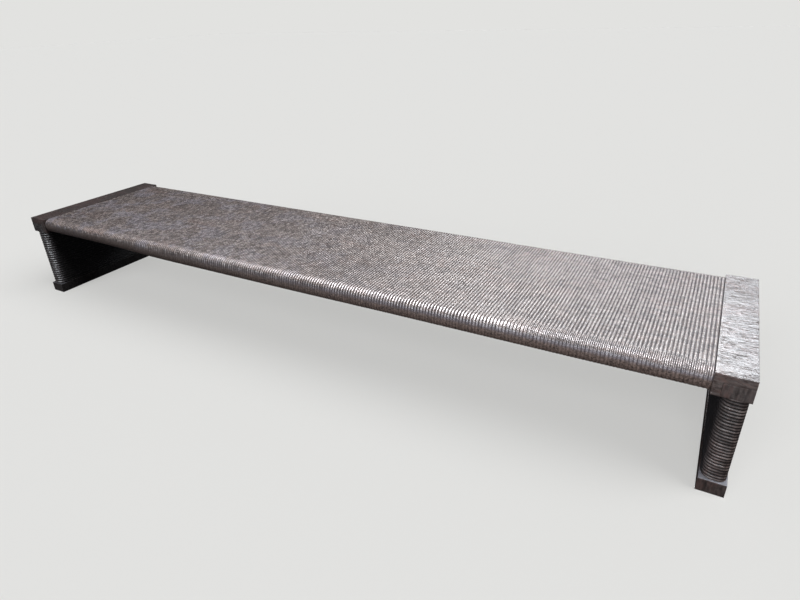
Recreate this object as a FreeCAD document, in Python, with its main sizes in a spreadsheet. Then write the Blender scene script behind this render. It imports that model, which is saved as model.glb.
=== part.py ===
import FreeCAD, Part
import Sketcher
import math
import os
import re
from FreeCAD import Placement, Rotation, Vector

# A long, low carved daybed: one thick plank on two plank legs, all of dark hardwood.
# Between plain square ends the plank and the legs are reeded: close round ribs, carved in
# the solid wood, run round each of them like turns of cord. Each leg's head sits in a
# rebate under the plank's end, and blind dowels hold it there.
# Frame: X along the daybed, Y to the back, Z up; the origin is on the floor, in the middle.

doc = FreeCAD.newDocument("carved_daybed")
sheet = doc.addObject("Spreadsheet::Sheet", "sizes")

# Driving dimensions, in millimetres.
SIZES = {
    "overall_length": 2800,
    "overall_width": 608,
    "overall_height": 356,
    "slab_thickness": 62,
    "end_block_length": 90,
    "slab_reed_pitch": 9.8,
    "slab_reed_depth": 2.8,
    "leg_thickness": 68,
    "head_cover": 24,
    "shoulder_clearance": 0.2,
    "foot_height": 40,
    "shank_side_inset": 2,
    "shank_edge_inset": 5,
    "shank_corner_radius": 20,
    "leg_reed_pitch": 9,
    "leg_reed_depth": 2.4,
    "arris_chamfer": 1.5,
    "dowel_diameter": 16,
    "dowel_length": 56,
    "dowel_in_slab": 17,
    "dowel_count": 5,
    "dowel_edge_distance": 64,
    "dowel_chamfer": 1.5,
    "dowel_side_clearance": 0.15,
    "dowel_end_clearance": 0.8,
    "cut_overrun": 5,
}

# Sizes that follow from the driving ones. The ones named right belong to the right-hand
# end; the left-hand end is the same work, turned half round.
DERIVED = {
    "right_end": "=overall_length / 2",
    "right_block_inner": "=right_end - end_block_length",
    "right_leg_inner": "=right_end - leg_thickness",
    "right_leg_centre": "=right_end - leg_thickness / 2",
    "right_rebate_inner": "=right_leg_inner - shoulder_clearance",
    "back_face": "=overall_width / 2",
    "slab_underside": "=overall_height - slab_thickness",
    "leg_top": "=overall_height - head_cover",
    "field_length": "=overall_length - 2 * end_block_length",
    "nose_radius": "=slab_thickness / 2",
    "shank_height": "=slab_underside - foot_height",
    "shank_thickness": "=leg_thickness - 2 * shank_side_inset",
    "shank_width": "=overall_width - 2 * shank_edge_inset",
    "dowel_bottom": "=leg_top + dowel_in_slab - dowel_length",
    "dowel_span": "=overall_width - 2 * dowel_edge_distance",
    "bore_diameter": "=dowel_diameter + 2 * dowel_side_clearance",
    "bore_bottom": "=dowel_bottom - dowel_end_clearance",
    "bore_length": "=dowel_length + 2 * dowel_end_clearance",
}

for row, (alias, content) in enumerate([*SIZES.items(), *DERIVED.items()], start=1):
    sheet.set(f"A{row}", alias)
    sheet.set(f"B{row}", str(content))
    sheet.setAlias(f"B{row}", alias)
doc.recompute()


def size(alias):
    return float(sheet.get(alias))


def bind(item, **properties):
    """Ties properties to expressions over the sheet's aliases; two underscores stand for a dot."""
    for name, expression in properties.items():
        spelled = re.sub(r"[a-z]\w+", lambda alias: f"sizes.{alias.group()}", expression)
        item.setExpression(name.replace("__", "."), spelled)


HALF_TURN = Placement(Vector(), Rotation(Vector(0, 0, 1), 180))


def stand(side, item):
    """Leaves an object at the right-hand end, or turns it half round to the left-hand one."""
    if side == "left":
        item.Placement = HALF_TURN * item.Placement
    return item


# Sketches and bodies

def origin_plane(body, role):
    return next(f for f in body.Origin.OriginFeatures if f.Role == role)


def new_sketch(body, name, role, height=None):
    """A sketch on one of the body's own planes, lifted along its normal by an expression."""
    sketch = body.newObject("Sketcher::SketchObject", name)
    sketch.AttachmentSupport = [(origin_plane(body, role), "")]
    sketch.MapMode = "FlatFace"
    if height:
        bind(sketch, AttachmentOffset__Base__z=height)
    return sketch


def add_sizes(sketch, constraints):
    """Adds named constraints, each with the expression that sets it."""
    for name, constraint, expression in constraints:
        index = sketch.addConstraint(constraint)
        sketch.renameConstraint(index, name)
        bind(sketch, **{f"Constraints__{name}": expression})


def add_rectangle(sketch, left, right, bottom, top):
    """A rectangle whose four sides stand at expressions, measured from the sketch's origin."""
    corners = [Vector(1, 1, 0), Vector(2, 1, 0), Vector(2, 2, 0), Vector(1, 2, 0)]
    for i, corner in enumerate(corners):
        sketch.addGeometry(Part.LineSegment(corner, corners[(i + 1) % 4]), False)
    for i in range(4):
        sketch.addConstraint(Sketcher.Constraint("Coincident", i, 2, (i + 1) % 4, 1))
    for i in (0, 2):
        sketch.addConstraint(Sketcher.Constraint("Horizontal", i))
        sketch.addConstraint(Sketcher.Constraint("Vertical", i + 1))
    add_sizes(
        sketch,
        (
            ("left", Sketcher.Constraint("DistanceX", -1, 1, 0, 1, 1), left),
            ("bottom", Sketcher.Constraint("DistanceY", -1, 1, 0, 1, 1), bottom),
            ("right", Sketcher.Constraint("DistanceX", -1, 1, 2, 1, 2), right),
            ("top", Sketcher.Constraint("DistanceY", -1, 1, 2, 1, 2), top),
        ),
    )


def add_circle(sketch, across, along, diameter):
    """A circle whose centre and diameter are expressions."""
    sketch.addGeometry(Part.Circle(Vector(1, 1, 0), Vector(0, 0, 1), 1), False)
    add_sizes(
        sketch,
        (
            ("across", Sketcher.Constraint("DistanceX", -1, 1, 0, 3, 1), across),
            ("along", Sketcher.Constraint("DistanceY", -1, 1, 0, 3, 1), along),
            ("diameter", Sketcher.Constraint("Diameter", 0, 2), diameter),
        ),
    )


def padded_body(name, sketch_role, outline, length, height=None, symmetric=False):
    """A body with one pad of the outline that the given function draws."""
    body = doc.addObject("PartDesign::Body", name)
    sketch = new_sketch(body, f"{name}_outline", sketch_role, height)
    outline(sketch)
    pad = body.newObject("PartDesign::Pad", f"{name}_pad")
    pad.Profile = sketch
    if symmetric:
        pad.SideType = "Symmetric"
    bind(pad, Length=length)
    doc.recompute()
    return body, pad


def soften(body, base, chosen, chamfer):
    """Chamfers the edges of a feature that the given test picks."""
    names = [f"Edge{i}" for i, edge in enumerate(base.Shape.Edges, start=1) if chosen(edge)]
    arris = body.newObject("PartDesign::Chamfer", f"{body.Name}_arris")
    arris.Base = (base, names)
    bind(arris, Size=chamfer)
    doc.recompute()
    return arris


def all_at(edge, axis, place):
    """Whether both ends of an edge lie at a place on one axis, to a hair."""
    hair = size("arris_chamfer") / 100
    return all(abs(getattr(vertex.Point, axis) - place) < hair for vertex in edge.Vertexes)


def is_corner(edge, x, y):
    """Whether an edge is the vertical one at x, front or back."""
    return all_at(edge, "x", x) and (all_at(edge, "y", y) or all_at(edge, "y", -y))


# Reeding

def reed_arc(base, outward, start, end, depth):
    """One reed's section: an arc from groove to groove that bulges outwards to its crest."""
    low = base + Vector(0, 0, start)
    high = base + Vector(0, 0, end)
    crest = (low + high) / 2 + outward * depth
    return Part.Arc(low, crest, high).toShape()


def reeded_solid(centres, radius, length, pitch, depth, plain_side):
    """A bar along Z, reeded all round: level ribs, one above the other.

    Its outline turns round the centres in order, each with the same radius and share of
    the full turn, from +X anticlockwise. The side that faces +X may be left plain, at the
    depth of the grooves; there each rib runs out in a half moon.
    """
    count = max(1, round(length / pitch))
    step = length / count
    turn = 360 / len(centres)
    groove_radius = radius - depth
    faces = []
    cap = []

    def outward(corner):
        angle = math.radians(turn * corner)
        return Vector(math.cos(angle), math.sin(angle), 0)

    for i, centre in enumerate(centres):
        run = centres[(i + 1) % len(centres)] - centre
        start = centre + outward(i) * groove_radius
        middle = centre + outward(i + 1 / 2) * groove_radius
        end = centre + outward(i + 1) * groove_radius
        plain = plain_side and i == len(centres) - 1
        cap.append(Part.Arc(start, middle, end).toShape())
        cap.append(Part.makeLine(end, end + run))
        for reed in range(count):
            low = reed * step
            high = (reed + 1) * step
            bend = reed_arc(start, outward(i), low, high, depth)
            faces.append(bend.revolve(centre, Vector(0, 0, 1), turn))
            straight = reed_arc(end, outward(i + 1), low, high, depth)
            if not plain:
                faces.append(straight.extrude(run))
                continue
            for shift in (Vector(), run):
                moon = straight.translated(shift)
                chord = Part.makeLine(end + shift + Vector(0, 0, low), end + shift + Vector(0, 0, high))
                faces.append(Part.Face(Part.Wire([moon, chord])))
        if plain:
            rise = [end + Vector(0, 0, reed * step) for reed in range(count + 1)]
            fall = [point + run for point in reversed(rise)]
            faces.append(Part.Face(Part.makePolygon([*rise, *fall, rise[0]])))

    bottom = Part.Face(Part.Wire(cap))
    faces += [bottom, bottom.translated(Vector(0, 0, length))]
    skin = Part.Compound(faces)
    skin.sewShape()
    solid = Part.Solid(skin.Shells[0])
    if solid.Volume < 0:
        solid.reverse()
    return solid


def reeded_field():
    """The plank between its end blocks: half-round edges, and ribs across that leave out the underside."""
    radius = size("nose_radius")
    edge = size("back_face") - radius
    field = doc.addObject("Part::Feature", "field")
    field.Shape = reeded_solid(
        [Vector(0, edge, 0), Vector(0, -edge, 0)],
        radius,
        size("field_length"),
        size("slab_reed_pitch"),
        size("slab_reed_depth"),
        True,
    )
    middle = Vector(-size("field_length") / 2, 0, size("overall_height") - radius)
    field.Placement = Placement(middle, Rotation(Vector(0, 1, 0), 90))
    return field


def reeded_shank(name):
    """The leg between its foot and its head: a flat bar with round corners, ribs all round."""
    radius = size("shank_corner_radius")
    side = size("shank_thickness") / 2 - radius
    edge = size("shank_width") / 2 - radius
    shank = doc.addObject("Part::Feature", name)
    shank.Shape = reeded_solid(
        [Vector(side, edge, 0), Vector(-side, edge, 0), Vector(-side, -edge, 0), Vector(side, -edge, 0)],
        radius,
        size("shank_height"),
        size("leg_reed_pitch"),
        size("leg_reed_depth"),
        False,
    )
    shank.Placement.Base = Vector(size("right_leg_centre"), 0, size("foot_height"))
    return shank


# Pieces

def end_block(side):
    """A plain end of the plank: a square block, rebated from below for the leg's head."""
    body, pad = padded_body(
        f"{side}_end_block",
        "XZ_Plane",
        lambda sketch: add_rectangle(
            sketch, "right_block_inner", "right_end", "slab_underside", "overall_height"
        ),
        "overall_width",
        symmetric=True,
    )
    sketch = new_sketch(body, f"{side}_rebate_outline", "XZ_Plane")
    add_rectangle(
        sketch, "right_rebate_inner", "right_end + cut_overrun", "slab_underside - cut_overrun", "leg_top"
    )
    rebate = body.newObject("PartDesign::Pocket", f"{side}_rebate")
    rebate.Profile = sketch
    rebate.Type = "ThroughAll"
    rebate.SideType = "Symmetric"
    doc.recompute()
    top = size("overall_height")
    end = size("right_end")
    back = size("back_face")
    soften(
        body, rebate, lambda edge: all_at(edge, "z", top) or is_corner(edge, end, back), "arris_chamfer"
    )
    return stand(side, body)


def leg_blocks(side):
    """The leg's plain ends: the foot, and the head that fills the rebate."""
    end = size("right_end")
    inner = size("right_leg_inner")
    back = size("back_face")
    ledge = size("foot_height")

    def outline(sketch):
        add_rectangle(sketch, "right_leg_inner", "right_end", "-back_face", "back_face")

    foot, pad = padded_body(f"{side}_foot", "XY_Plane", outline, "foot_height")
    soften(
        foot,
        pad,
        lambda edge: all_at(edge, "z", ledge) or is_corner(edge, end, back) or is_corner(edge, inner, back),
        "arris_chamfer",
    )
    head, pad = padded_body(
        f"{side}_head", "XY_Plane", outline, "leg_top - slab_underside", height="slab_underside"
    )
    soften(head, pad, lambda edge: is_corner(edge, end, back), "arris_chamfer")
    return [stand(side, foot), stand(side, head)]


def dowel_place(i):
    """The place of a dowel along the joint, counted from the front, as an expression."""
    return f"dowel_span * ({i} / (dowel_count - 1) - 1 / 2)"


def leg_dowels(side):
    """Plain round dowels with softened ends, upright in a row along the leg's head."""
    dowels = []
    for i in range(int(size("dowel_count"))):
        body, pad = padded_body(
            f"{side}_dowel_{i + 1}",
            "XY_Plane",
            lambda sketch: add_circle(sketch, "right_leg_centre", dowel_place(i), "dowel_diameter"),
            "dowel_length",
            height="dowel_bottom",
        )
        soften(body, pad, lambda edge: len(edge.Vertexes) == 1, "dowel_chamfer")
        dowels.append(body)
    group = doc.addObject("Part::Compound", f"{side}_leg_dowels")
    group.Links = dowels
    return stand(side, group)


def dowel_bores(side):
    """The bores for one row of dowels, each in the plank and the leg at once."""
    bores = []
    for i in range(int(size("dowel_count"))):
        bore = doc.addObject("Part::Cylinder", f"{side}_bore_{i + 1}")
        bind(
            bore,
            Radius="bore_diameter / 2",
            Height="bore_length",
            Placement__Base__x="right_leg_centre",
            Placement__Base__y=dowel_place(i),
            Placement__Base__z="bore_bottom",
        )
        bores.append(bore)
    group = doc.addObject("Part::Compound", f"{side}_bores")
    group.Links = bores
    return stand(side, group)


def joined(name, shapes):
    fuse = doc.addObject("Part::MultiFuse", name)
    fuse.Shapes = shapes
    return fuse


def bored(name, blank, tool):
    cut = doc.addObject("Part::Cut", name)
    cut.Base = blank
    cut.Tool = tool
    return cut


bores = {side: dowel_bores(side) for side in ("left", "right")}
both_bores = doc.addObject("Part::Compound", "all_bores")
both_bores.Links = list(bores.values())

plank = joined("plank", [reeded_field(), end_block("left"), end_block("right")])
subparts = [bored("top_slab", plank, both_bores)]
for side in ("left", "right"):
    leg = joined(f"{side}_leg_blank", [stand(side, reeded_shank(f"{side}_shank")), *leg_blocks(side)])
    subparts.append(bored(f"{side}_leg", leg, bores[side]))
    subparts.append(leg_dowels(side))
for item in subparts:
    item.Label = item.Name
doc.recompute()

# Checks and files

for item in doc.Objects:
    if any(state in ("Invalid", "Error") for state in item.State):
        raise RuntimeError(f"{item.Name} failed: {item.State}")
for item in subparts:
    if item.Shape.isNull() or not item.Shape.isValid():
        raise RuntimeError(f"{item.Name} has no valid shape")

os.makedirs("parts", exist_ok=True)
for item in subparts:
    item.Shape.exportStep(f"parts/{item.Label}.step")
    solids = item.Shape.Solids
    print(f"{item.Label}: {len(solids)} solid(s), {item.Shape.Volume:.0f} cubic mm")
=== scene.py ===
import math

import bmesh
import bpy
import numpy as np
from mathutils import Matrix, Vector


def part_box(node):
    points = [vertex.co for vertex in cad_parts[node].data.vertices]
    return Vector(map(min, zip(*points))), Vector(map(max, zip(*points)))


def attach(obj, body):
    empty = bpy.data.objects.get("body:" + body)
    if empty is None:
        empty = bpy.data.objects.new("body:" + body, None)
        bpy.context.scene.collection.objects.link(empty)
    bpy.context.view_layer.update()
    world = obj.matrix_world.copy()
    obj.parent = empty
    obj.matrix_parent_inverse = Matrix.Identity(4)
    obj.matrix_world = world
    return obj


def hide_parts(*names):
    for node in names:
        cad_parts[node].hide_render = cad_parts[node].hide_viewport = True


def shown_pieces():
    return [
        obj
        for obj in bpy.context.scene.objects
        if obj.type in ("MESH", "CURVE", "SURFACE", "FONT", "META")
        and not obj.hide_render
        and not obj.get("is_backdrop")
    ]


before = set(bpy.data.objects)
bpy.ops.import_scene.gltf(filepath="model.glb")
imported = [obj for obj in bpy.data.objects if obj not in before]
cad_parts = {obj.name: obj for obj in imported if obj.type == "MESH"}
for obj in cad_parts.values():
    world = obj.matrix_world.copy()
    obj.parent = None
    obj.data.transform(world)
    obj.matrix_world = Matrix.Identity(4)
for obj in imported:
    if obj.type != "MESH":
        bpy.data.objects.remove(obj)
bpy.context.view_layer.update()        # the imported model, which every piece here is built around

# A long, low carved daybed: a ribbed plank on two ribbed plank legs, dark waxed hardwood.
# All lengths are metres, in the frame's own axes: +X along, +Y to the back, +Z up.

slabLow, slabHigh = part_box("top_slab")
legLow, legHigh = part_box("right_leg")


def report(stage):
    print(f"daybed: {stage}")


# Node helpers

class Field:
    # one output of a node tree; sums of fields become Math nodes
    def __init__(self, tree, socket):
        self.tree = tree
        self.socket = socket

    def math(self, operation, *others):
        made = self.tree.nodes.new("ShaderNodeMath")
        made.operation = operation
        for place, value in enumerate((self, *others)):
            feed(self.tree, made.inputs[place], value)
        return Field(self.tree, made.outputs[0])

    def __add__(self, other):
        return self.math("ADD", other)

    __radd__ = __add__

    def __sub__(self, other):
        return self.math("SUBTRACT", other)

    def __rsub__(self, other):
        return self.math("MULTIPLY_ADD", -1, other)

    def __mul__(self, other):
        return self.math("MULTIPLY", other)

    def __truediv__(self, other):
        return self.math("DIVIDE", other)


def feed(tree, socket, value):
    if isinstance(value, Field):
        tree.links.new(value.socket, socket)
    else:
        socket.default_value = value


def feedAll(tree, node, values):
    for label, value in values.items():
        feed(tree, node.inputs[label], value)


def add(tree, kind, inputs=None, out=0, **settings):
    made = tree.nodes.new(kind)
    for name, value in settings.items():
        setattr(made, name, value)
    feedAll(tree, made, inputs or {})
    return Field(tree, made.outputs[out])


def startTree(name, kind, inputs, outputs):
    tree = bpy.data.node_groups.new(name, kind)
    for label, (socket, value) in inputs.items():
        made = tree.interface.new_socket(name=label, in_out="INPUT", socket_type=f"NodeSocket{socket}")
        if value is not None:
            made.default_value = value
    for label, socket in outputs.items():
        tree.interface.new_socket(name=label, in_out="OUTPUT", socket_type=f"NodeSocket{socket}")
    entry = tree.nodes.new("NodeGroupInput")
    given = {label: Field(tree, entry.outputs[label]) for label in inputs}
    return tree, given, tree.nodes.new("NodeGroupOutput")


def startSurface(owner):
    # an empty node tree for a material or a world
    owner.use_nodes = True
    owner.node_tree.nodes.clear()
    return owner.node_tree


def finishSurface(tree, kind, shader):
    feed(tree, tree.nodes.new(kind).inputs["Surface"], shader)


def placeGroup(tree, group, values):
    made = tree.nodes.new("ShaderNodeGroup")
    made.node_tree = group
    feedAll(tree, made, values)
    return {socket.name: Field(tree, socket) for socket in made.outputs}


def vector(tree, x, y, z):
    return add(tree, "ShaderNodeCombineXYZ", {"X": x, "Y": y, "Z": z})


def axes(tree, place):
    made = tree.nodes.new("ShaderNodeSeparateXYZ")
    feed(tree, made.inputs[0], place)
    return [Field(tree, socket) for socket in made.outputs]


def smooth(value, low, high):
    # rises smoothly from 0 at low to 1 at high
    return add(
        value.tree, "ShaderNodeMapRange", {"Value": value, "From Min": low, "From Max": high},
        interpolation_type="SMOOTHSTEP",
    )


def noise(tree, place, scale=1.0, detail=2.0, roughness=0.5, distortion=0.0):
    values = {
        "Vector": place,
        "Scale": scale,
        "Detail": detail,
        "Roughness": roughness,
        "Distortion": distortion,
    }
    return add(tree, "ShaderNodeTexNoise", values, out="Fac")


def mixColor(tree, share, first, second):
    made = tree.nodes.new("ShaderNodeMix")
    made.data_type = "RGBA"
    # a Mix node's sockets share their names, so its colour ones are found by their place
    for place, value in ((0, share), (6, first), (7, second)):
        feed(tree, made.inputs[place], value)
    return Field(tree, made.outputs[2])


def storeAll(tree, shape, values):
    # keeps each value as an attribute of the points, for the materials to read
    for name, value in values.items():
        shape = add(
            tree, "GeometryNodeStoreNamedAttribute",
            {"Geometry": shape, "Name": name, "Value": value}, data_type="FLOAT", domain="POINT",
        )
    return shape


def finishGeometry(tree, end, shape, material):
    real = add(tree, "GeometryNodeRealizeInstances", {"Geometry": shape})
    made = add(tree, "GeometryNodeSetMaterial", {"Geometry": real, "Material": material})
    feed(tree, end.inputs["Geometry"], made)


def runTree(piece, tree, values):
    # gives the piece the tree with these values, then keeps the result as a plain mesh
    modifier = piece.modifiers.new(tree.name, "NODES")
    modifier.node_group = tree
    for item in tree.interface.items_tree:
        if item.in_out == "INPUT" and item.name in values:
            modifier[item.identifier] = values[item.name]
    keepResult(piece)


def keepResult(piece):
    bpy.context.view_layer.update()
    seen = piece.evaluated_get(bpy.context.evaluated_depsgraph_get())
    mesh = bpy.data.meshes.new_from_object(seen)
    piece.modifiers.clear()
    piece.data = mesh


def newPiece(name, data):
    piece = bpy.data.objects.new(name, data)
    bpy.context.scene.collection.objects.link(piece)
    return piece


def srgb(red, green, blue):
    # a colour written as it looks on screen, 0 to 255
    def linear(part):
        share = part / 255
        return share / 12.92 if share <= 0.04045 else ((share + 0.055) / 1.055) ** 2.4

    return (linear(red), linear(green), linear(blue), 1.0)


# Camera

camera = {
    "place": (1.2228, -1.6117, 1.1292),
    "yaw": -29.843,
    "pitch": -27.044,
    "roll": -1.905,
    "focalPixels": 569.48,
    "pictureWidth": 800,
    "sensor": 36.0,
    "clipEnd": 100.0,
}


def makeCamera():
    yaw, pitch, roll = (math.radians(camera[name]) for name in ("yaw", "pitch", "roll"))
    ahead = Vector((math.sin(yaw) * math.cos(pitch), math.cos(yaw) * math.cos(pitch), math.sin(pitch)))
    level = Vector((math.cos(yaw), -math.sin(yaw), 0))
    above = level.cross(ahead)
    right = level * math.cos(roll) + above * math.sin(roll)
    up = above * math.cos(roll) - level * math.sin(roll)
    data = bpy.data.cameras.new("camera")
    data.sensor_width = camera["sensor"]
    data.lens = camera["focalPixels"] / camera["pictureWidth"] * camera["sensor"]
    data.clip_end = camera["clipEnd"]
    made = newPiece("camera", data)
    turn = Matrix((right, up, -ahead)).transposed().to_4x4()
    made.matrix_world = Matrix.Translation(Vector(camera["place"])) @ turn
    bpy.context.scene.camera = made


makeCamera()
report("camera placed")


# Studio: floor, backdrop and lamps

studio = {
    "paper": srgb(226, 226, 224),
    "bounce": srgb(66, 67, 70),
    "floorSize": 60.0,
    "shadowShare": 0.43,        # how much of its real shadow the floor shows
    "sky": 0.2,
    "skyTint": (0.97, 0.975, 1.0, 1.0),
    "suns": {
        "frontSun": {"strength": 2.1, "angle": 45, "lean": (-0.12, -1.0, 0.52)},
        "sideSun": {"strength": 2.1, "angle": 45, "lean": (0.9, 0.1, 1.0)},
    },
    "sheens": {
        "rightSheen": {
            "place": (2.2, 3.4, 2.85), "aim": (1.2, 0.0, 0.35), "size": (4.2, 1.5), "radiance": 12.5,
            "tint": (0.86, 0.93, 1.0),
        },
        "backSheen": {
            "place": (0.2, 3.4, 3.3), "aim": (0.4, 0.0, 0.35), "size": (3.0, 1.3), "radiance": 15.2,
            "tint": (1.0, 0.965, 0.945),
        },
        "topSheen": {
            "place": (0.1, -0.2, 3.0), "aim": (0.1, -0.2, 0.0), "size": (2.4, 2.2), "radiance": 66.0,
            "tint": (0.96, 0.95, 1.0),
        },
        "frontSheen": {
            "place": (-0.6, -3.6, 1.3), "aim": (-0.6, -0.3, 0.2), "size": (5.6, 1.2), "radiance": 20.0,
            "tint": (0.85, 0.92, 1.0),
        },
    },
}


def makeBackdrop():
    # the camera sees plain paper, and the wood is lit by a dim cool sky
    world = bpy.data.worlds.new("studioSky")
    bpy.context.scene.world = world
    tree = startSurface(world)
    seen = add(tree, "ShaderNodeLightPath", out="Is Camera Ray")
    lit = add(tree, "ShaderNodeBackground", {"Color": studio["skyTint"], "Strength": studio["sky"]})
    shown = add(tree, "ShaderNodeBackground", {"Color": studio["paper"], "Strength": 1.0})
    mixed = add(tree, "ShaderNodeMixShader", {0: seen, 1: lit, 2: shown})
    finishSurface(tree, "ShaderNodeOutputWorld", mixed)


def makeFloor():
    # pale to the camera, with a share of its shadow, and dark in what it throws back at the wood
    paper = bpy.data.materials.new("floorPaper")
    tree = startSurface(paper)
    seen = add(tree, "ShaderNodeLightPath", out="Is Camera Ray")
    colour = mixColor(tree, seen, studio["bounce"], studio["paper"])
    lit = add(tree, "ShaderNodeBsdfDiffuse", {"Color": colour})
    shown = add(tree, "ShaderNodeEmission", {"Color": studio["paper"], "Strength": 1.0})
    share = seen * (1 - studio["shadowShare"])
    mixed = add(tree, "ShaderNodeMixShader", {0: share, 1: lit, 2: shown})
    finishSurface(tree, "ShaderNodeOutputMaterial", mixed)

    half = studio["floorSize"] / 2
    corners = [(-half, -half, 0), (half, -half, 0), (half, half, 0), (-half, half, 0)]
    mesh = bpy.data.meshes.new("floor")
    mesh.from_pydata(corners, [], [(0, 1, 2, 3)])
    mesh.materials.append(paper)
    newPiece("floor", mesh)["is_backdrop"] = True


def makeLamps():
    for name, sun in studio["suns"].items():
        data = bpy.data.lights.new(name, "SUN")
        data.energy = sun["strength"]
        data.angle = math.radians(sun["angle"])
        newPiece(name, data).rotation_euler = Vector(sun["lean"]).to_track_quat("Z", "Y").to_euler()

    # soft boxes that only gloss the waxed wood
    for name, sheen in studio["sheens"].items():
        data = bpy.data.lights.new(name, "AREA")
        data.shape = "RECTANGLE"
        data.size, data.size_y = sheen["size"]
        data.energy = sheen["radiance"] * math.pi * data.size * data.size_y
        data.color = sheen["tint"]
        lamp = newPiece(name, data)
        lamp.location = sheen["place"]
        away = Vector(sheen["place"]) - Vector(sheen["aim"])
        lamp.rotation_euler = away.to_track_quat("Z", "Y").to_euler()
        lamp.visible_diffuse = False
        lamp.visible_camera = False


bpy.context.scene.view_settings.view_transform = "Standard"
makeBackdrop()
makeFloor()
makeLamps()
report("studio lit")


# Finishes

def woodFigureGroup():
    # the wood's own figure, its grain along X: streaks, broad patches, mottle, fibres and fine checks
    tree, given, end = startTree(
        "woodFigure", "ShaderNodeTree",
        {
            "Vector": ("Vector", None),
            "Dark": ("Color", (0.02, 0.015, 0.012, 1)),
            "Middle": ("Color", (0.06, 0.045, 0.04, 1)),
            "Pale": ("Color", (0.12, 0.1, 0.09, 1)),
            "Red": ("Color", (0.1, 0.05, 0.035, 1)),
            "Redness": ("Float", 0.5),
            "Checks": ("Float", 1.0),
        },
        {"Color": "Color", "Height": "Float", "Wax": "Float", "Crack": "Float"},
    )
    x, y, z = axes(tree, given["Vector"])

    def grain(along, across, shift, detail, roughness=0.6, distortion=0.0):
        place = vector(tree, x * along + shift, y * across, z * across)
        return noise(tree, place, detail=detail, roughness=roughness, distortion=distortion)

    streak = grain(2.6, 38, 0, 6)
    patch = grain(3.1, 7.5, 4, 4)
    ruddy = grain(4.5, 11, 11, 5)
    mottle = grain(40, 80, 20, 5, 0.7)
    bead = grain(18, 260, 30, 2)
    fibre = grain(34, 620, 40, 3)
    line = grain(13, 64, 50, 4, 0.65, 0.5)
    tone = smooth(streak * 0.25 + patch * 0.15 + mottle * 0.6, 0.4, 0.6)
    body = mixColor(tree, tone, given["Dark"], given["Middle"])
    wax = smooth(patch * 0.15 + mottle * 0.45 + bead * 0.4, 0.42, 0.58)
    body = mixColor(tree, wax * 0.7, body, given["Pale"])
    reddened = smooth(ruddy * 0.5 + mottle * 0.5, 0.48, 0.62) * given["Redness"]
    body = mixColor(tree, reddened, body, given["Red"])
    thin = 1 - smooth((line - 0.5).math("ABSOLUTE"), 0.006, 0.028)
    crack = thin * smooth(bead, 0.36, 0.6) * given["Checks"]
    body = mixColor(tree, fibre * 0.3 + crack * 0.6, body, given["Dark"])
    feedAll(tree, end, {
        "Color": body,
        "Height": fibre * 0.3 + bead * 0.6 + mottle * 0.5,
        "Wax": wax,
        "Crack": crack,
    })
    return tree


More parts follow.
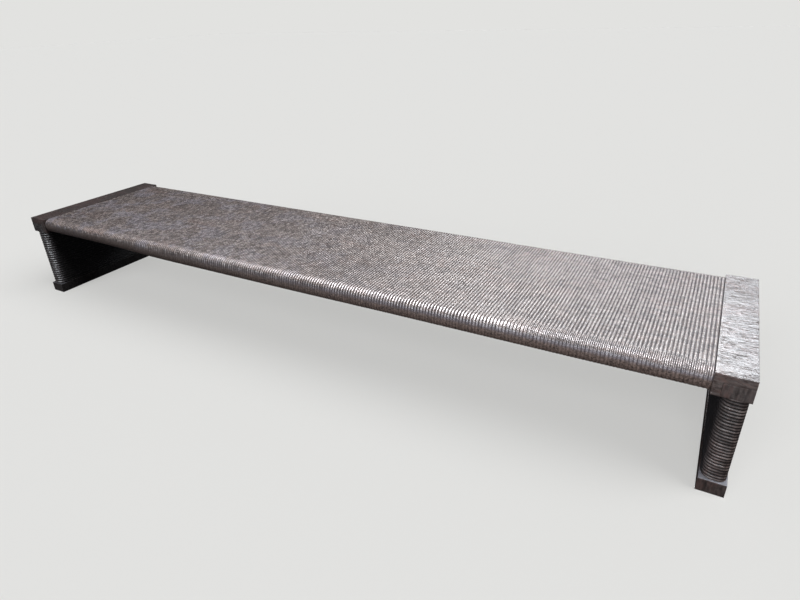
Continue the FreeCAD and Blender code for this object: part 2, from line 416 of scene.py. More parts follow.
def wearAndPaintedLightGroup():
    # rubbed crests, grooves painted dark as shade and partly as dirt, the rough brown lower half of the
    # rounded edges with a painted band above it, and a pale coat in some grooves that is partly dust and
    # partly painted light
    tree, given, end = startTree(
        "wearAndPaintedLight", "ShaderNodeTree",
        {
            "Color": ("Color", (0.06, 0.045, 0.04, 1)),
            "Vector": ("Vector", None),
            "Wax": ("Float", 1.0),
            "Crack": ("Float", 0.0),
            "Weather": ("Float", 0.0),
            "Shine": ("Float", 0.0),
            "Dustlight": ("Float", 0.0),
            "Crest": ("Float", 1.0),
            "Under": ("Float", 0.0),
            "Tone": ("Float", 0.5),
            "Groove Color": ("Color", (0.01, 0.008, 0.007, 1)),
            "Crest Color": ("Color", (0.2, 0.18, 0.17, 1)),
            "Under Color": ("Color", (0.06, 0.04, 0.033, 1)),
            "Bloom And Painted Band Color": ("Color", (0.13, 0.14, 0.17, 1)),
            "Dustlight Color": ("Color", (0.5, 0.48, 0.46, 1)),
            "Rub": ("Float", 0.4),
            "Waxed": ("Float", 0.6),
            "Dullness": ("Float", 0.6),
        },
        {"Color": "Color", "Roughness": "Float", "Height": "Float", "Gloss": "Float"},
    )
    place = given["Vector"]
    crest = given["Crest"]
    under = given["Under"]
    shine = given["Shine"]
    weather = given["Weather"]
    speck = noise(tree, place, scale=260, detail=3, roughness=0.6)
    pebble = noise(tree, place, scale=150, detail=2, roughness=0.6)
    blotch = noise(tree, place, scale=58, detail=4, roughness=0.65)

    # crests rubbed paler, each rib a shade of its own
    worn = smooth(crest, 0.55, 1.0) * smooth(blotch, 0.3, 0.62) * given["Rub"]
    body = mixColor(tree, worn, given["Color"], given["Crest Color"])
    body = mixColor(tree, (given["Tone"] - 0.5) * 0.1 + 0.05, body, given["Groove Color"])

    # a cloudy bloom and fine pitting where the wood has weathered
    cloud = noise(tree, place, scale=9, detail=5, roughness=0.65)
    body = mixColor(tree, smooth(cloud, 0.46, 0.6) * weather * 0.5, body, given["Bloom And Painted Band Color"])
    pitted = pebble * 0.65 + blotch * 0.35
    body = mixColor(tree, smooth(pitted, 0.5, 0.6) * weather * 0.6, body, given["Groove Color"])
    proud = (1 - smooth(pitted, 0.4, 0.48)) * weather * 0.35
    body = mixColor(tree, proud, body, given["Crest Color"])

    # rough wood below the plank's rounded edge; on a leg the same mask marks its inner face, painted dark
    # there as shade
    grit = smooth(speck * 0.6 + pebble * 0.4, 0.3, 0.62)
    raw = mixColor(tree, grit, given["Groove Color"], given["Under Color"])
    # painted shade: the rough wood, and a leg's inner face, are darkened towards the left end
    raw = mixColor(tree, weather * 0.75, raw, given["Groove Color"])
    body = mixColor(tree, under * 0.9, body, raw)
    # painted light: a band where that mask begins, a bluish painted reflection on the plank's edge and
    # painted shade where a leg's corner turns into its inner face
    band = under * (1 - under) * (1 - weather) * 1.8
    body = mixColor(tree, band, body, given["Bloom And Painted Band Color"])

    # grooves painted dark as shade and partly as dirt, lighter on the rough wood and on the shining
    # shoulder; then a pale bluish coat in some of them, partly dust and partly painted light
    grooveShadeAndDirt = (1 - smooth(crest, 0.28, 0.85)) * (0.9 - under * 0.45 - shine * 0.35)
    body = mixColor(tree, grooveShadeAndDirt, body, given["Groove Color"])
    body = mixColor(tree, given["Dustlight"], body, given["Dustlight Color"])

    # wax on what is rubbed, broken up by the pits and checks
    rubbed = smooth(crest, 0.38, 0.9)
    fine = smooth(speck * 0.3 + pebble * 0.7, 0.4, 0.6) * 0.3 + 0.7
    coarse = (1 - smooth(pitted, 0.42, 0.58)) * 0.85 + 0.15
    broken = fine + (coarse - fine) * weather
    waxed = broken * (given["Wax"] * given["Waxed"] + 1 - given["Waxed"]) * (1 - given["Crack"] * 0.75)
    gloss = rubbed * (waxed + (1 - waxed) * shine * (1 - weather * 0.9))
    dulled = (1 - under * 0.85) * (1 - shine * (weather * 0.65 + 0.12))
    rough = speck * 0.5 + pebble * 1.8 + blotch * 0.6 - given["Crack"] * 0.6
    feedAll(tree, end, {
        "Color": body,
        "Roughness": given["Dullness"] + (speck - 0.5) * 0.2,
        "Height": rough * (1 - shine * 0.7),
        "Gloss": gloss * dulled,
    })
    return tree


woodFigure = woodFigureGroup()
wearAndPaintedLight = wearAndPaintedLightGroup()

plankFinish = {
    "dark": srgb(50, 36, 32),
    "middle": srgb(98, 79, 71),
    "pale": srgb(140, 128, 122),
    "red": srgb(114, 76, 62),
    "redness": 0.4,
    "checks": 0.25,
    # painted into the grooves as shade and partly as dirt; also the colour of the pits
    "groove": srgb(36, 30, 29),
    "crest": srgb(146, 137, 133),
    "under": srgb(134, 116, 109),
    # bluish grey: cloudy patches on the weathered left, and the painted reflection band on the plank's edge
    "bloom": srgb(124, 122, 136),
    # partly dust and partly painted light, in the grooves towards the right end and on the tops of the feet
    "dustlight": srgb(194, 198, 210),
    "weathered": (1.0, -1.15),      # the x where weathering starts, and the x where it is full
    "rub": 0.5,
    "waxed": 0.35,
    "dullness": 0.6,
    "turn": (0, 0, 0),
    "bump": 0.0010,
    "specular": 0.07,
    "polish": 0.34,
    "coat": 1.55,
}

blockFinish = dict(
    plankFinish,
    dark=srgb(64, 50, 46),
    middle=srgb(90, 75, 70),
    pale=srgb(118, 108, 105),
    red=srgb(110, 68, 57),
    crest=srgb(137, 138, 140),
    redness=0.65,
    checks=1.5,
    waxed=0.2,
    polish=0.27,
    bump=0.0005,
)

legFinish = dict(
    plankFinish,
    dark=srgb(50, 39, 36),
    middle=srgb(82, 69, 65),
    pale=srgb(104, 94, 91),
    red=srgb(102, 64, 56),
    # painted into the leg's grooves as shade and partly as dirt
    groove=srgb(16, 13, 13),
    crest=srgb(136, 124, 120),
    # the inner faces of the legs, painted this dark as shade
    under=srgb(40, 41, 44),
    redness=0.55,
    # mostly the painted shade of the band where a leg's corner turns inwards
    bloom=srgb(70, 66, 66),
    waxed=0.15,
    polish=0.5,
    coat=1.5,
    bump=0.0003,
    turn=(0, 90, 0),
)

dowelFinish = dict(
    plankFinish,
    dark=srgb(120, 90, 62),
    middle=srgb(168, 132, 96),
    pale=srgb(190, 158, 120),
    red=srgb(170, 120, 86),
    rub=0.0,
    waxed=1.0,
    turn=(0, 90, 0),
)


def shadedCopy(finish, share, **changes):
    # painted shade: a darker copy of a finish, for the left end
    darkened = {
        part: (*(share * value for value in finish[part][:3]), 1.0)
        for part in ("dark", "middle", "pale", "red", "crest", "under")
    }
    return dict(finish, **darkened, **changes)


# the left end block, painted darker as shade
shadedBlockFinish = shadedCopy(
    blockFinish, 0.5,
    bloom=srgb(90, 64, 60),
    redness=0.9,
    waxed=0.5,
    coat=1.3,
    bump=0.0008,
)

# the left leg, painted darker as shade
shadedLegFinish = shadedCopy(
    legFinish, 0.3,
    polish=0.42,
    coat=1.6,
    bump=0.0001,
)


def woodMaterial(name, finish):
    material = bpy.data.materials.new(name)
    tree = startSurface(material)
    place = add(tree, "ShaderNodeTexCoord", out="Object")
    turn = [math.radians(angle) for angle in finish["turn"]]
    grain = add(tree, "ShaderNodeMapping", {"Vector": place, "Rotation": turn})
    figure = placeGroup(tree, woodFigure, {
        "Vector": grain,
        "Dark": finish["dark"],
        "Middle": finish["middle"],
        "Pale": finish["pale"],
        "Red": finish["red"],
        "Redness": finish["redness"],
        "Checks": finish["checks"],
    })
    stored = {
        label: add(tree, "ShaderNodeAttribute", out="Fac", attribute_name=label.lower())
        for label in ("Crest", "Under", "Shine", "Dustlight", "Tone")
    }
    wear = placeGroup(tree, wearAndPaintedLight, {
        **stored,
        "Color": figure["Color"],
        "Vector": place,
        "Wax": figure["Wax"],
        "Crack": figure["Crack"],
        "Weather": smooth(axes(tree, place)[0], *finish["weathered"]),
        "Groove Color": finish["groove"],
        "Crest Color": finish["crest"],
        "Under Color": finish["under"],
        "Bloom And Painted Band Color": finish["bloom"],
        "Dustlight Color": finish["dustlight"],
        "Rub": finish["rub"],
        "Waxed": finish["waxed"],
        "Dullness": finish["dullness"],
    })
    relief = figure["Height"] + wear["Height"] * 0.6
    bump = add(tree, "ShaderNodeBump", {"Height": relief, "Distance": finish["bump"], "Strength": 1.0})
    shader = add(tree, "ShaderNodeBsdfPrincipled", {
        "Base Color": wear["Color"],
        "Roughness": wear["Roughness"],
        "Specular IOR Level": finish["specular"],
        "Normal": bump,
        "Coat Weight": wear["Gloss"],
        "Coat Roughness": finish["polish"],
        "Coat IOR": finish["coat"],
        "Coat Normal": bump,
    })
    finishSurface(tree, "ShaderNodeOutputMaterial", shader)
    return material


plankWood = woodMaterial("plankWood", plankFinish)
blockWood = woodMaterial("blockWood", blockFinish)
shadedBlockWood = woodMaterial("shadedBlockWood", shadedBlockFinish)
legWood = woodMaterial("legWood", legFinish)
shadedLegWood = woodMaterial("shadedLegWood", shadedLegFinish)
dowelWood = woodMaterial("dowelWood", dowelFinish)
report("finishes mixed")


# Carved ribs: a rule for the ribbed plank and both ribbed shanks

# how far along the field, from its left end, each change starts and is full; no shank is that long
stretches = {
    "calmer": (0.6, 2.2),
    "polished": (1.3, 2.1),
    # where the pale coat in the grooves, partly painted light, starts and is full
    "dustlit": (1.9, 2.6),
    "thicker": (0.35, 0.75),
    "lessThick": (1.3, 1.8),
    "leastThick": (2.3, 2.6),
}


def ribTree():
    tree, given, end = startTree(
        "carvedRibs", "GeometryNodeTree",
        {
            "Outline": ("Geometry", None),
            "First Rib": ("Int", 0),
            "Ribs": ("Int", 10),
            "All Ribs": ("Int", 10),
            "Steps": ("Int", 8),
            "Pitch": ("Float", 0.01),
            "Depth": ("Float", 0.0028),
            "Fullness": ("Float", 2.4),
            "Sway": ("Float", 0.001),
            "Sway Length": ("Float", 0.25),
            "Straight Ends": ("Float", 0.06),
            "Uneven": ("Float", 0.2),
            "Facet": ("Float", 0.2),
            "Facet Length": ("Float", 0.03),
            "Shallow Grooves": ("Float", 0.2),
            "Split": ("Float", 0.5),
            "Split From": ("Float", 0.0),
            "Split Full": ("Float", 0.1),
            "Stroke Length": ("Float", 0.012),
            "Rough": ("Float", 0.0005),
            "Collar": ("Float", 0.001),
            "Dustlighting": ("Float", 0.0),
            "Polished": ("Float", 0.0),
            "Belly": ("Float", 0.0),
            "Seed": ("Int", 1),
            "Material": ("Material", None),
        },
        {"Geometry": "Geometry"},
    )
    outline = given["Outline"]
    around = add(tree, "GeometryNodeAttributeDomainSize", {"Geometry": outline}, out="Point Count")
    rows = given["Ribs"] * given["Steps"]
    sheet = add(
        tree, "GeometryNodeMeshGrid",
        {"Size X": around, "Size Y": rows, "Vertices X": around + 1, "Vertices Y": rows + 1},
    )
    across, along = axes(tree, add(tree, "GeometryNodeInputPosition"))[:2]
    turn = (across + around / 2).math("ROUND").math("MODULO", around)
    row = (along + rows / 2).math("ROUND")

    def fromOutline(value, kind="FLOAT"):
        values = {"Geometry": outline, "Value": value, "Index": turn}
        return add(tree, "GeometryNodeSampleIndex", values, data_type=kind)

    def traced(name, kind="FLOAT"):
        attribute = add(tree, "GeometryNodeInputNamedAttribute", {"Name": name}, data_type=kind)
        return fromOutline(attribute, kind)

    base = axes(tree, fromOutline(add(tree, "GeometryNodeInputPosition"), "FLOAT_VECTOR"))
    outward = axes(tree, traced("outward", "FLOAT_VECTOR"))
    reach = traced("reach")
    relief = traced("relief")
    under = traced("under")
    shine = traced("shine")
    seed = given["Seed"] * 3.7

    def waver(x, y, shift, detail=1, roughness=0.5):
        return noise(tree, vector(tree, x, y, seed + shift), detail=detail, roughness=roughness)

    # where along its rib and among the ribs a point lies
    inPiece = ((row + 0.5) / given["Steps"]).math("FLOOR")
    share = row / given["Steps"] - inPiece
    rib = inPiece + given["First Rib"]
    order = rib + share
    total = given["All Ribs"] * given["Pitch"]
    level = order * given["Pitch"]

    # grooves that wander a little, and run straight at both ends
    wide = waver(reach / given["Sway Length"], level / given["Sway Length"], 0)
    near = waver(reach / given["Sway Length"] * 4, order * 0.7, 20)
    sway = ((wide - 0.5) * 2.4 + (near - 0.5) * 0.9) * given["Sway"]
    ends = smooth(level.math("MINIMUM", total - level), 0.0, given["Straight Ends"])
    place = level + sway * ends

    # one rib's section, uneven from rib to rib and faceted along each
    fromMiddle = (share * 2 - 1).math("ABSOLUTE")
    arc = 1 - fromMiddle.math("POWER", given["Fullness"])
    luck = add(
        tree, "FunctionNodeRandomValue", {"ID": rib, "Seed": given["Seed"]}, out=1, data_type="FLOAT"
    )
    facet = waver(reach / given["Facet Length"], order * 0.8, 40, 3)
    calm = 1 - smooth(place, *stretches["calmer"]) * 0.6
    fill = waver(reach / given["Facet Length"] / 2, order * 0.9, 60)
    dent = smooth(facet, 0.35, 0.7) * (1 - shine * 0.8) * calm * given["Facet"]
    size = (1 - luck * given["Uneven"]) * (1 - dent)
    floor = smooth(fill, 0.5, 0.75) * given["Shallow Grooves"]

    # over the front shoulder each rib runs out in two finer strokes
    half = ((share * 2).math("FRACT") * 2 - 1).math("ABSOLUTE")
    broken = waver(reach / given["Stroke Length"], order * 1.9, 80)
    stroke = (1 - half.math("POWER", given["Fullness"])) * (0.6 + smooth(broken, 0.35, 0.6) * 0.4)
    splitHere = smooth(place, given["Split From"], given["Split Full"]) * traced("split") * given["Split"]
    arc = arc + (stroke - arc) * splitHere
    crest = floor + (1 - floor) * arc * size
    collar = smooth(total - level, 0.0, given["Collar"]) * smooth(level, 0.0, 0.0005)
    chips = waver(place * 130, reach * 170, 100, 3, 0.6)
    height = crest * relief * collar * given["Depth"] + (chips - 0.62) * under * given["Rough"]

    # towards the right more of each rib is rubbed to a gloss, so less of it takes the painted groove shade,
    # and what grooves are left take a pale bluish coat, partly dust and partly painted light
    widened = smooth(place, *stretches["polished"]) * (1 - shine * 0.85) * given["Polished"]
    polished = crest.math("POWER", 1 - widened)
    shown = polished * (1 - dent * 0.8) * (relief * 0.6 + 0.4) * collar
    dustlight = smooth(place, *stretches["dustlit"]) * (1 - shown) * (1 - under) * given["Dustlighting"]
    stored = {"crest": shown, "tone": luck, "under": under, "shine": shine, "dustlight": dustlight}
    sheet = storeAll(tree, sheet, stored)

    # the board is left thicker below, most to the left of its middle and not at its left end
    belly = smooth(place, *stretches["thicker"])
    belly = belly * (1 - smooth(place, *stretches["lessThick"]) * 0.27)
    belly = belly * (1 - smooth(place, *stretches["leastThick"]) * 0.4)
    sunk = belly * under * given["Belly"]
    moved = vector(tree, place, base[1] + outward[1] * height, base[2] + outward[2] * height - sunk)
    shape = add(tree, "GeometryNodeSetPosition", {"Geometry": sheet, "Position": moved})
    shape = add(tree, "GeometryNodeMergeByDistance", {"Geometry": shape, "Distance": 0.00002})
    shape = add(tree, "GeometryNodeSetShadeSmooth", {"Geometry": shape, "Shade Smooth": True})
    finishGeometry(tree, end, shape, given["Material"])
    return tree


def outlineMesh(name, points):
    # points, in order round the section: dictionaries of y, z, the outward y and z, and four shares
    mesh = bpy.data.meshes.new(name)
    count = len(points)
    places = [(0, point["y"], point["z"]) for point in points]
    mesh.from_pydata(places, [(i, (i + 1) % count) for i in range(count)], [])
    reach = 0.0
    reaches = []
    for i, point in enumerate(points):
        reaches.append(reach)
        ahead = points[(i + 1) % count]
        reach += math.hypot(ahead["y"] - point["y"], ahead["z"] - point["z"])
    for label in ("relief", "split", "under", "shine"):
        shares = [point[label] for point in points]
        mesh.attributes.new(label, "FLOAT", "POINT").data.foreach_set("value", shares)
    mesh.attributes.new("reach", "FLOAT", "POINT").data.foreach_set("value", reaches)
    outward = [part for point in points for part in (0.0, *point["outward"])]
    mesh.attributes.new("outward", "FLOAT_VECTOR", "POINT").data.foreach_set("vector", outward)
    return mesh


def shareBetween(value, low, high):
    share = min(1.0, max(0.0, (value - low) / (high - low)))
    return share * share * (3 - 2 * share)


def closeEnds(piece, lips, step, toCentre):
    # each open end is filled; one with a lip first steps inwards, then runs on to its neighbour
    shell = bmesh.new()
    shell.from_mesh(piece.data)
    middle = sum(vert.co.x for vert in shell.verts) / len(shell.verts)
    loops = {-1: [], 1: []}
    for edge in shell.edges:
        if edge.is_boundary:
            loops[1 if edge.verts[0].co.x > middle else -1].append(edge)
    for way, edges in loops.items():
        if lips[way] > 0:
            for inward, onward in ((step, 0), (0, lips[way])):
                made = bmesh.ops.extrude_edge_only(shell, edges=edges)["geom"]
                edges = [part for part in made if isinstance(part, bmesh.types.BMEdge) and part.is_boundary]
                for vert in {vert for edge in edges for vert in edge.verts}:
                    centre = Vector((0, *toCentre(vert.co)))
                    vert.co += centre * inward + Vector((way * onward, 0, 0))
        bmesh.ops.holes_fill(shell, edges=edges, sides=0)
    bmesh.ops.recalc_face_normals(shell, faces=shell.faces)
    shell.to_mesh(piece.data)
    shell.free()


# The plank's ribbed field, in three lengths that meet in grooves

field = {
    "endBlock": 0.090,
    "pitch": 0.0098,
    "endGroove": 0.0010,        # between the last rib and the end block
    "grooveStep": 0.0006,
    "flatSteps": 70,            # points round the outline: over the top, round each edge and below
    "frontNoseSteps": 24,
    "backNoseSteps": 16,
    "underSteps": 6,
    "middleRibs": 101,
    # degrees over the rounded edge, from straight up, where each change starts and is full
    "ribsSink": (44, 86),
    "ribsEnd": (130, 178),
    "roughWood": (52, 80),
    "splitEnd": (50, 80),
    "shineEnd": (38, 60),
    # how far past the line where the front edge starts to round each change starts and is full
    "splitStart": (-0.03, -0.005),
    "shineStart": (-0.008, 0.004),
    "ribs": {
        "Steps": 8,
        "Depth": 0.0028,
        "Fullness": 2.0,
        "Sway": 0.0012,
        "Sway Length": 0.3,
        "Uneven": 0.06,
        "Facet": 0.3,
        "Facet Length": 0.016,
        "Shallow Grooves": 0.25,
        "Split": 0.9,
        "Split From": 1.9,
        "Split Full": 2.3,
        "Rough": 0.0011,
        "Collar": 0.0005,
        "Dustlighting": 0.16,
        "Polished": 0.62,
        "Belly": 0.0074,
        "Seed": 11,
    },
}
noseRadius = (slabHigh.z - slabLow.z) / 2
noseY = slabHigh.y - noseRadius
noseZ = slabHigh.z - noseRadius


def plankOutline():
    inner = noseRadius - field["ribs"]["Depth"]
    points = []

    def addPoint(y, z, outY, outZ, angle, front):
        # angle is measured from straight up, over the rounded edge and down to the underside
        relief = 1 - 0.55 * shareBetween(angle, *field["ribsSink"])
        relief -= 0.45 * shareBetween(angle, *field["ribsEnd"])
        split = shine = 0.0
        if front:
            past = -y - noseY
            split = shareBetween(past, *field["splitStart"]) * (1 - shareBetween(angle, *field["splitEnd"]))
            shine = shareBetween(past, *field["shineStart"]) * (1 - shareBetween(angle, *field["shineEnd"]))
        points.append({
            "y": y, "z": z, "outward": (outY, outZ), "relief": relief, "split": split,
            "under": shareBetween(angle, *field["roughWood"]), "shine": shine,
        })

    def nose(way, steps):
        for i in range(steps):
            turn = math.pi * (i / steps)
            out = (-math.sin(turn), math.cos(turn)) if way < 0 else (math.sin(turn), -math.cos(turn))
            angle = math.degrees(turn) if way < 0 else 180 - math.degrees(turn)
            addPoint(way * noseY + out[0] * inner, noseZ + out[1] * inner, *out, angle, way < 0)

    for i in range(field["flatSteps"]):
        y = noseY - 2 * noseY * i / field["flatSteps"]
        addPoint(y, noseZ + inner, 0.0, 1.0, 0.0, y < 0)
    nose(-1, field["frontNoseSteps"])
    for i in range(field["underSteps"]):
        y = -noseY + 2 * noseY * i / field["underSteps"]
        addPoint(y, noseZ - inner, 0.0, -1.0, 180.0, False)
    nose(1, field["backNoseSteps"])
    return outlineMesh("plankOutline", points)


def makeField(ribs):
    length = (slabHigh.x - slabLow.x) - 2 * field["endBlock"]
    count = round(length / field["pitch"])
    pitch = (length - 2 * field["endGroove"]) / count
    start = slabLow.x + field["endBlock"] + field["endGroove"]
    sides = (count - field["middleRibs"]) // 2
    runs = {
        "fieldLeft": (0, sides),
        "fieldMiddle": (sides, field["middleRibs"]),
        "fieldRight": (sides + field["middleRibs"], count - sides - field["middleRibs"]),
    }

    def toCentre(place):
        across = min(noseY, max(-noseY, place.y))
        return (Vector((across, noseZ)) - Vector((place.y, place.z))).normalized()

    made = []
    for name, (first, number) in runs.items():
        piece = newPiece(name, plankOutline())
        runTree(piece, ribs, {
            **field["ribs"],
            "First Rib": first,
            "Ribs": number,
            "All Ribs": count,
            "Pitch": pitch,
            "Material": plankWood,
        })
        lips = {
            -1: field["endGroove"] if first == 0 else 0,
            1: field["endGroove"] if first + number == count else 0,
        }
        closeEnds(piece, lips, field["grooveStep"], toCentre)
        piece.data.transform(Matrix.Translation((start, 0, 0)))
        made.append(piece)
    return made


# Plain square ends, cut from cells so that tool marks can be pressed into them

def steps(low, high, size):
    count = max(1, round((high - low) / size))
    return [low + (high - low) * i / count for i in range(count + 1)]


def cellMesh(name, xs, ys, zs, solid):
    # the outer faces of a block of cells; solid says whether a cell's middle is wood
    counts = (len(xs) - 1, len(ys) - 1, len(zs) - 1)
    wood = np.zeros([count + 2 for count in counts], bool)
    for i in range(counts[0]):
        for k in range(counts[2]):
            wood[i + 1, 1:-1, k + 1] = solid((xs[i] + xs[i + 1]) / 2, (zs[k] + zs[k + 1]) / 2)
    corners = {}
    faces = []

    def corner(i, j, k):
        return corners.setdefault((i, j, k), len(corners))

    around = ((0, 0), (1, 0), (1, 1), (0, 1))
    for axis in range(3):
        for way in (0, 1):
            shown = wood & ~np.roll(wood, -1 if way else 1, axis)
            for cell in np.argwhere(shown):
                ring = []
                for u, v in around if way else around[::-1]:
                    place = [int(c) - 1 for c in cell]
                    place[axis] += way
                    place[(axis + 1) % 3] += u
                    place[(axis + 2) % 3] += v
                    ring.append(corner(*place))
                faces.append(ring)
    places = [(xs[i], ys[j], zs[k]) for i, j, k in corners]
    mesh = bpy.data.meshes.new(name)
    mesh.from_pydata(places, [], faces)
    return mesh


def markTree():
    # presses chisel strokes into plain faces: long shallow furrows along one axis
    tree, given, end = startTree(
        "chiselMarks", "GeometryNodeTree",
        {
            "Geometry": ("Geometry", None),
            "Stroke Scale": ("Vector", (8.0, 220.0, 220.0)),
            "Depth": ("Float", 0.0005),
            "Wave": ("Float", 0.0004),
            "Rubbing": ("Float", 0.6),
            "Upright Rubbing": ("Float", 1.0),
            "Stain": ("Float", 0.4),
            "Dustlight": ("Float", 0.0),
            "Seed": ("Float", 0.0),
            "Material": ("Material", None),
        },
        {"Geometry": "Geometry"},
    )
    place = add(tree, "GeometryNodeInputPosition")
    normal = add(tree, "GeometryNodeInputNormal")
    upward = axes(tree, normal)[2]
    shift = vector(tree, given["Seed"], given["Seed"] * 2, given["Seed"] * 3)
    scaled = add(tree, "ShaderNodeVectorMath", {0: place, 1: given["Stroke Scale"]}, operation="MULTIPLY")
    scaled = add(tree, "ShaderNodeVectorMath", {0: scaled, 1: shift}, operation="ADD")
    moved = add(tree, "ShaderNodeVectorMath", {0: place, 1: shift}, operation="ADD")
    furrow = noise(tree, scaled, detail=2, roughness=0.55, distortion=0.7)
    broad = noise(tree, moved, scale=14, detail=2)
    luck = noise(tree, scaled, scale=0.5, detail=1)

    # level faces are rubbed fully, upright ones by their own share, and stain stays in the furrows
    level = smooth(upward, 0.3, 0.7)
    rubbing = given["Rubbing"] * (level + (1 - level) * given["Upright Rubbing"])
    crest = rubbing - smooth(furrow, 0.5, 0.66) * given["Stain"]

    # a pale coat on upward faces, partly dust and partly painted light, kept near the front and back where
    # the slab above leaves them lit
    nearEnd = smooth(axes(tree, place)[1].math("ABSOLUTE"), 0.25, 0.28)
    dustlight = smooth(upward, 0.7, 0.95) * nearEnd * given["Dustlight"]
    shape = storeAll(tree, given["Geometry"], {"crest": crest, "tone": luck, "dustlight": dustlight})

    sunk = smooth(furrow, 0.45, 0.68) * given["Depth"] + broad * given["Wave"]
    offset = add(tree, "ShaderNodeVectorMath", {0: normal, "Scale": sunk * -1}, operation="SCALE")
    shape = add(tree, "GeometryNodeSetPosition", {"Geometry": shape, "Offset": offset})
    finishGeometry(tree, end, shape, given["Material"])
    return tree


def softenArrises(piece, width):
    bevel = piece.modifiers.new("arris", "BEVEL")
    bevel.width = width
    bevel.segments = 2
    bevel.limit_method = "ANGLE"
    bevel.angle_limit = math.radians(60)
    bevel.use_clamp_overlap = False
    keepResult(piece)
    for face in piece.data.polygons:
        face.use_smooth = True


blocks = {
    "cell": (0.0036, 0.0018, 0.0055),
    "arris": 0.0007,
    "headCover": 0.024,         # the wood left above the leg's head
    "marks": {
        "Stroke Scale": (20.0, 340.0, 340.0),
        "Depth": 0.0003,
        "Wave": 0.0003,
        "Upright Rubbing": 0.88,
    },
    "left": {"Rubbing": 0.6, "Stain": 0.25, "Seed": 3.0},
    "right": {"Rubbing": 0.8, "Stain": 0.17, "Seed": 8.0},
}


def makeEndBlock(side, marks, wood):
    # cut as the right-hand one, over the head of its leg; the left one is then turned half round
    inner = slabHigh.x - field["endBlock"]
    rebate = slabHigh.x - (legHigh.x - legLow.x)
    seat = slabHigh.z - blocks["headCover"]
    xs = steps(inner, rebate, blocks["cell"][0]) + steps(rebate, slabHigh.x, blocks["cell"][0])[1:]
    ys = steps(slabLow.y, slabHigh.y, blocks["cell"][1])
    zs = steps(slabLow.z, seat, blocks["cell"][2]) + steps(seat, slabHigh.z, blocks["cell"][2])[1:]
    mesh = cellMesh(f"{side}EndBlock", xs, ys, zs, lambda x, z: x < rebate or z > seat)
    piece = newPiece(f"{side}EndBlock", mesh)
    softenArrises(piece, blocks["arris"])
    runTree(piece, marks, {**blocks["marks"], **blocks[side], "Material": wood})
    if side == "left":
        piece.data.transform(Matrix.Rotation(math.pi, 4, "Z"))
    return piece


# Legs: a ribbed shank between a plain head and a plain foot, each leg one plank

leg = {
    "footHeight": 0.040,
    "sideInset": 0.002,
    "edgeInset": 0.005,
    "innerRadius": 0.031,
    "outerRadius": 0.021,
    "cornerSteps": 8,
    "faceStep": 0.008,
    # the ribs are this much flatter on the outer face, and fade over these depths below it
    "outerFlatness": 0.7,
    "outerFade": (-0.008, -0.002),
    # how squarely a spot faces inwards where the painted shade of the inner face starts and is full
    "innerPaintedShade": (0.6, 0.97),
    "cell": (0.0036, 0.0022, 0.0044),
    "footArris": 0.0012,
    "headArris": 0.0004,
    "bury": 0.001,              # how far the shank runs on into the foot and the head
    "ribs": {
        "Steps": 8,
        "Depth": 0.0024,
        "Fullness": 1.8,
        "Sway Length": 0.12,
        "Facet Length": 0.03,
        "Shallow Grooves": 0.2,
        "Split": 0.0,
        "Rough": 0.0,
    },
    "marks": {
        "Stroke Scale": (260.0, 260.0, 16.0),
        "Depth": 0.0002,
        "Wave": 0.0004,
        "Stain": 0.14,
    },
    "left": {
        "pitch": 0.0106,
        "ribs": {"Sway": 0.000072, "Uneven": 0.018, "Facet": 0.024, "Collar": 0.006, "Seed": 5},
        # the foot's pale top coat is partly painted light
        "foot": {"Rubbing": 0.5, "Dustlight": 0.1, "Seed": 5},
        "head": {"Rubbing": 0.64, "Seed": 7},
    },
    "right": {
        "pitch": 0.009,
        "ribs": {"Sway": 0.0006, "Uneven": 0.15, "Facet": 0.2, "Collar": 0.002, "Seed": 9},
        # the foot's pale top coat is partly painted light
        "foot": {"Rubbing": 0.56, "Dustlight": 0.4, "Seed": 9},
        "head": {"Rubbing": 0.64, "Seed": 11},
    },
}


def shankOutline():
    # drawn lying down: z points to the inner face of the leg, -z to its outer face
    halfY = slabHigh.y - leg["edgeInset"]
    halfZ = (legHigh.x - legLow.x) / 2 - leg["sideInset"]
    points = []

    def addPoint(centre, radius, turn):
        out = (math.cos(turn), math.sin(turn))
        y, z = (centre[axis] + out[axis] * (radius - leg["ribs"]["Depth"]) for axis in (0, 1))
        points.append({
            "y": y, "z": z, "outward": out,
            "relief": 1 - leg["outerFlatness"] * shareBetween(-z - halfZ, *leg["outerFade"]),
            # under marks the inner face, which is painted dark as shade
            "split": 0.0, "under": shareBetween(out[1], *leg["innerPaintedShade"]), "shine": 0.0,
        })

    corners = []
    for wayY, wayZ in ((1, 1), (-1, 1), (-1, -1), (1, -1)):
        radius = leg["innerRadius"] if wayZ > 0 else leg["outerRadius"]
        corners.append(((wayY * (halfY - radius), wayZ * (halfZ - radius)), radius))
    for corner, (centre, radius) in enumerate(corners):
        start, stop = math.pi / 2 * corner, math.pi / 2 * (corner + 1)
        for i in range(leg["cornerSteps"]):
            addPoint(centre, radius, start + (stop - start) * i / leg["cornerSteps"])
        onward, nextRadius = corners[(corner + 1) % 4]
        run = math.dist(centre, onward)
        count = max(1, round(run / leg["faceStep"]))
        for i in range(count):
            share = i / count
            blend = radius + (nextRadius - radius) * share
            between = [centre[axis] + (onward[axis] - centre[axis]) * share for axis in (0, 1)]
            addPoint(between, blend, stop)
    return outlineMesh("shankOutline", points)


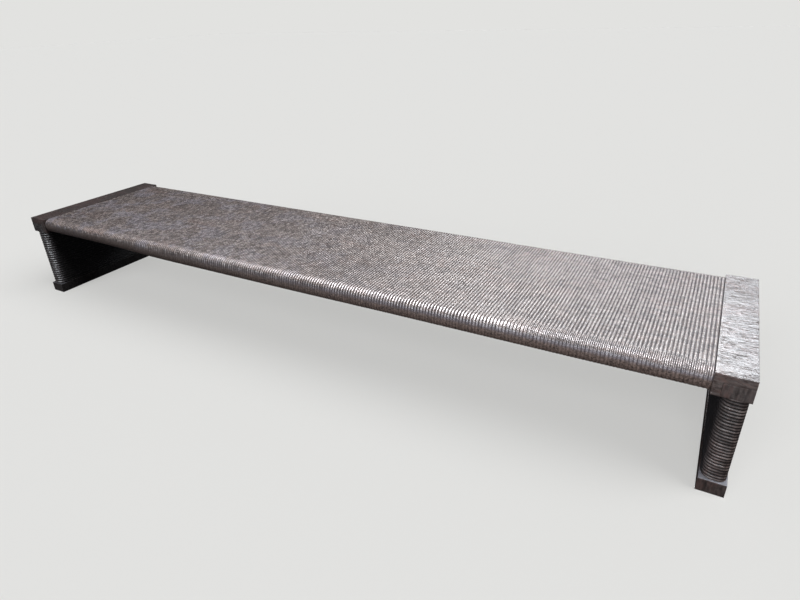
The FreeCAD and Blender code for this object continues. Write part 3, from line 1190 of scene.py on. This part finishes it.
def plainBlock(name, low, high, arris, marks, values):
    xs, ys, zs = (steps(low[axis], high[axis], leg["cell"][axis]) for axis in range(3))
    piece = newPiece(name, cellMesh(name, xs, ys, zs, lambda x, z: True))
    softenArrises(piece, arris)
    runTree(piece, marks, {**leg["marks"], **values})
    return piece


def makeLeg(side, ribs, marks, wood):
    own = leg[side]
    height = slabLow.z - leg["footHeight"]
    count = round(height / own["pitch"])
    shank = newPiece(f"{side}Leg", shankOutline())
    runTree(shank, ribs, {
        **leg["ribs"],
        **own["ribs"],
        "First Rib": 0,
        "Ribs": count,
        "All Ribs": count,
        "Pitch": height / count,
        "Material": wood,
    })

    # the shank runs on a little into the foot and the head, and is stood upright between them
    closeEnds(shank, {-1: leg["bury"], 1: leg["bury"]}, 0, lambda place: (0, 0))
    middle = Matrix.Translation(((legLow.x + legHigh.x) / 2, 0, leg["footHeight"]))
    shank.data.transform(middle @ Matrix.Rotation(-math.pi / 2, 4, "Y"))
    foot = plainBlock(
        f"{side}Foot", (legLow.x, legLow.y, 0), (legHigh.x, legHigh.y, leg["footHeight"]),
        leg["footArris"], marks, {**own["foot"], "Material": wood},
    )
    head = plainBlock(
        f"{side}Head", (legLow.x, legLow.y, slabLow.z), tuple(legHigh),
        leg["headArris"], marks, {**own["head"], "Material": wood},
    )
    with bpy.context.temp_override(active_object=shank, selected_editable_objects=[shank, foot, head]):
        bpy.ops.object.join()
    if side == "left":
        shank.data.transform(Matrix.Rotation(math.pi, 4, "Z"))
    return shank


ribs = ribTree()
marks = markTree()
plankPieces = makeField(ribs)
report("ribbed field carved")
plankPieces += [makeEndBlock("left", marks, shadedBlockWood), makeEndBlock("right", marks, blockWood)]
report("end blocks cut")
legPieces = {
    "left": makeLeg("left", ribs, marks, shadedLegWood),
    "right": makeLeg("right", ribs, marks, legWood),
}
report("legs carved")

for piece in plankPieces:
    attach(piece, "root")
    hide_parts("top_slab")
for side, piece in legPieces.items():
    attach(piece, "root")
    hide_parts(f"{side}_leg")
for side in ("left", "right"):
    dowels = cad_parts[f"{side}_leg_dowels"]
    dowels.data.materials.clear()
    dowels.data.materials.append(dowelWood)
triangles = sum(len(face.vertices) - 2 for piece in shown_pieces() for face in piece.data.polygons)
report(f"pieces placed, {triangles} triangles")
